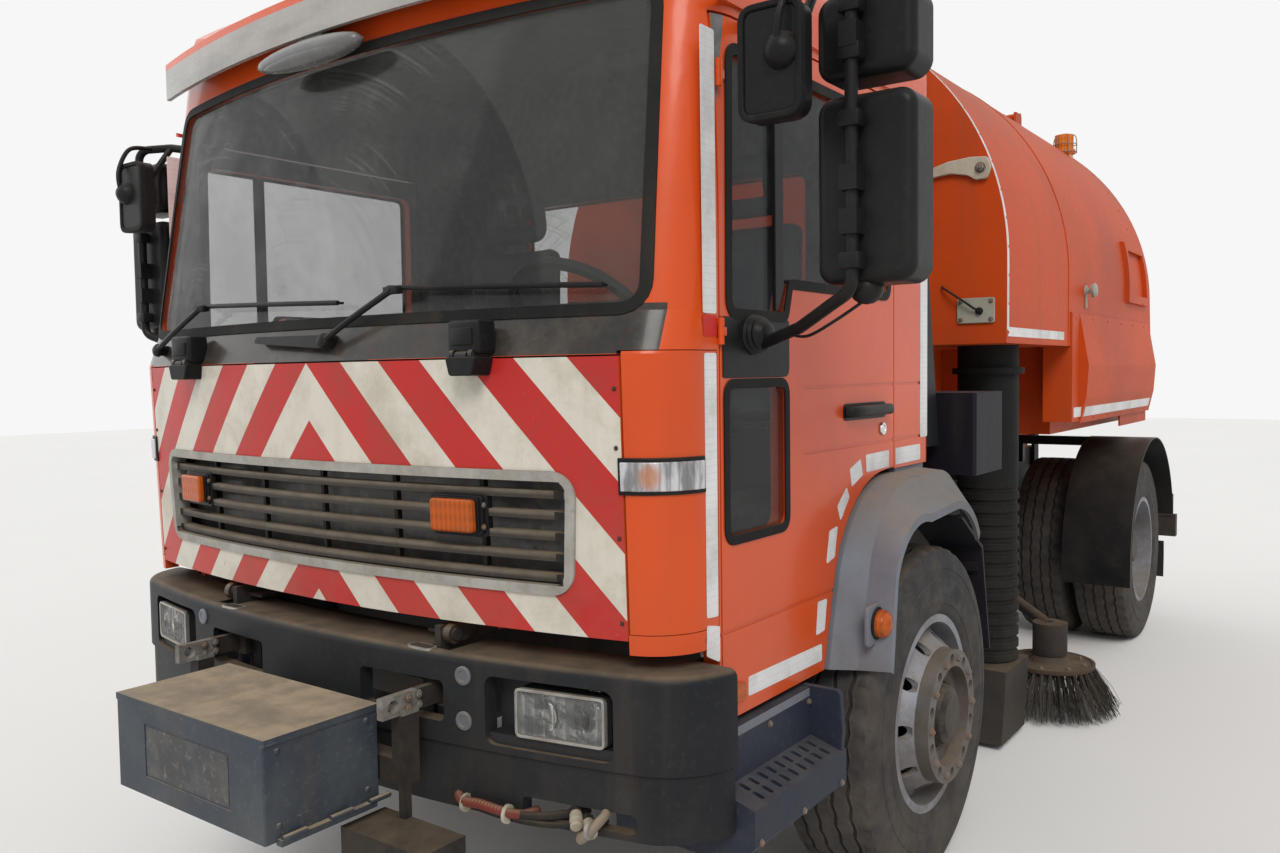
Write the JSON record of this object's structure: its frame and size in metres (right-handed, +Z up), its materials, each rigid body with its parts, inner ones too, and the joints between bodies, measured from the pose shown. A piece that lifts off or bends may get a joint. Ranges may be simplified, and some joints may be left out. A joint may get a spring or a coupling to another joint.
{
  "type": "road_sweeper_truck",
  "caption": "Orange cab-over road sweeper lorry with red and white chevron front, grey nose box, barrel hopper, suction hose and gutter brushes",
  "frame": {"origin": "on the ground, at the middle of the overall length and width", "axes": "+X to the vehicle's left, +Y to the rear along the overall length, +Z up"},
  "size_m": [3.04, 6.13, 3.1339],
  "materials": {
    "orange_paint": "gloss, chipped and dusty",
    "red_white_panel": "satin chevrons",
    "frame_steel": "satin, dusty",
    "wheel_steel": "satin, dirty",
    "tyre_rubber": "matte",
    "cast_steel": "rough",
    "grey_plastic": "matte, dusty",
    "light_grey_plastic": "matte",
    "black_plastic": "matte",
    "clear_glass": "gloss",
    "lamp_lens": "gloss",
    "seat_fabric": "woven",
    "black_rubber": "matte",
    "brush_bristle": "coarse bristles",
    "box_steel": "satin, dusty",
    "beacon_amber": "gloss"
  },
  "bodies": {
    "chassis": {"chassis_frame": "frame_steel", "front_axle": "cast_steel", "rear_axle": "cast_steel", "leaf_springs": "frame_steel", "engine_block": "cast_steel", "front_bumper": "grey_plastic", "headlamps": "lamp_lens", "cab_steps": "grey_plastic", "front_carrier": "frame_steel", "control_box": "box_steel", "side_lockers": "black_plastic", "suction_ducts": "box_steel", "suction_hoses": "black_rubber", "suction_nozzles": "box_steel", "sweep_engine": "frame_steel", "brush_mounts": "frame_steel", "rear_mudguards": "black_plastic", "rear_bumper": "frame_steel", "intake_stack": "black_plastic"},
    "cab": {"cab_shell": "orange_paint", "corner_panels": "orange_paint", "cab_glass": "clear_glass", "sun_visor": "light_grey_plastic", "arch_flares": "light_grey_plastic", "dashboard": "black_plastic", "seats": "seat_fabric", "wipers": "black_plastic"},
    "flap": {"front_flap": "red_white_panel", "grille": "light_grey_plastic"},
    "hopper": {"hopper_shell": "orange_paint", "hopper_skirts": "orange_paint", "beacon": "beacon_amber"},
    "tail": {"tail_door": "orange_paint"},
    "roller": {"wide_brush": "brush_bristle"},
    "door_left": {"door_left": "orange_paint", "door_glass_left": "clear_glass", "mirror_left": "black_plastic"},
    "knuckle_left": {"knuckle_left": "cast_steel"},
    "front_wheel_left": {"front_wheel_left": "wheel_steel", "front_tyre_left": "tyre_rubber"},
    "rear_wheel_left": {"rear_wheel_left": "wheel_steel", "rear_tyres_left": "tyre_rubber"},
    "brush_arm_left": {"brush_arm_left": "frame_steel"},
    "gutter_brush_left": {"gutter_brush_left": "brush_bristle"},
    "door_right": {"door_right": "orange_paint", "door_glass_right": "clear_glass", "mirror_right": "black_plastic"},
    "knuckle_right": {"knuckle_right": "cast_steel"},
    "front_wheel_right": {"front_wheel_right": "wheel_steel", "front_tyre_right": "tyre_rubber"},
    "rear_wheel_right": {"rear_wheel_right": "wheel_steel", "rear_tyres_right": "tyre_rubber"},
    "brush_arm_right": {"brush_arm_right": "frame_steel"},
    "gutter_brush_right": {"gutter_brush_right": "brush_bristle"}
  },
  "joints": [
    {"name": "cab_tilt", "type": "hinge", "parent": "chassis", "child": "cab", "pos_m": [0, -2.595, 0.935], "axis": [1, 0, 0], "range_deg": [0, 50]},
    {"name": "flap_lift", "type": "hinge", "parent": "cab", "child": "flap", "pos_m": [0, -2.663, 1.608], "axis": [-1, 0, 0], "range_deg": [0, 90]},
    {"name": "hopper_tip", "type": "hinge", "parent": "chassis", "child": "hopper", "pos_m": [0, 2.515, 1.115], "axis": [-1, 0, 0], "range_deg": [0, 50]},
    {"name": "tail_lift", "type": "hinge", "parent": "hopper", "child": "tail", "pos_m": [0, 2.295, 3.112], "axis": [1, 0, 0], "range_deg": [0, 80]},
    {"name": "wide_brush_spin", "type": "hinge", "parent": "chassis", "child": "roller", "pos_m": [0, 1.315, 0.215], "axis": [1, 0, 0], "continuous": true},
    {"name": "door_left_open", "type": "hinge", "parent": "cab", "child": "door_left", "pos_m": [1.08, -2.337, 1.56], "axis": [0, 0, -1], "range_deg": [0, 60]},
    {"name": "steer_left", "type": "hinge", "parent": "chassis", "child": "knuckle_left", "pos_m": [0.88, -1.285, 0.5], "axis": [0, 0, 1], "range_deg": [-40, 40]},
    {"name": "front_wheel_left_spin", "type": "hinge", "parent": "knuckle_left", "child": "front_wheel_left", "pos_m": [1.05, -1.285, 0.51], "axis": [1, 0, 0], "continuous": true},
    {"name": "rear_wheel_left_spin", "type": "hinge", "parent": "chassis", "child": "rear_wheel_left", "pos_m": [0.843, 2.165, 0.51], "axis": [1, 0, 0], "continuous": true},
    {"name": "brush_left_swing", "type": "hinge", "parent": "chassis", "child": "brush_arm_left", "pos_m": [0.6, 1.065, 0.46], "axis": [0, 0, 1], "range_deg": [0, 20]},
    {"name": "brush_left_spin", "type": "hinge", "parent": "brush_arm_left", "child": "gutter_brush_left", "pos_m": [1.05, 0.545, 0.24], "axis": [0, 0, 1], "continuous": true},
    {"name": "door_right_open", "type": "hinge", "parent": "cab", "child": "door_right", "pos_m": [-1.08, -2.337, 1.56], "axis": [0, 0, 1], "range_deg": [0, 60]},
    {"name": "steer_right", "type": "hinge", "parent": "chassis", "child": "knuckle_right", "pos_m": [-0.88, -1.285, 0.5], "axis": [0, 0, 1], "range_deg": [-40, 40]},
    {"name": "front_wheel_right_spin", "type": "hinge", "parent": "knuckle_right", "child": "front_wheel_right", "pos_m": [-1.05, -1.285, 0.51], "axis": [1, 0, 0], "continuous": true},
    {"name": "rear_wheel_right_spin", "type": "hinge", "parent": "chassis", "child": "rear_wheel_right", "pos_m": [-0.843, 2.165, 0.51], "axis": [1, 0, 0], "continuous": true},
    {"name": "brush_right_swing", "type": "hinge", "parent": "chassis", "child": "brush_arm_right", "pos_m": [-0.6, 1.065, 0.46], "axis": [0, 0, -1], "range_deg": [0, 20]},
    {"name": "brush_right_spin", "type": "hinge", "parent": "brush_arm_right", "child": "gutter_brush_right", "pos_m": [-1.05, 0.545, 0.24], "axis": [0, 0, 1], "continuous": true}
  ],
  "couplings": [
    {"joint": "steer_right", "follows": "steer_left", "ratio": 1}
  ]
}
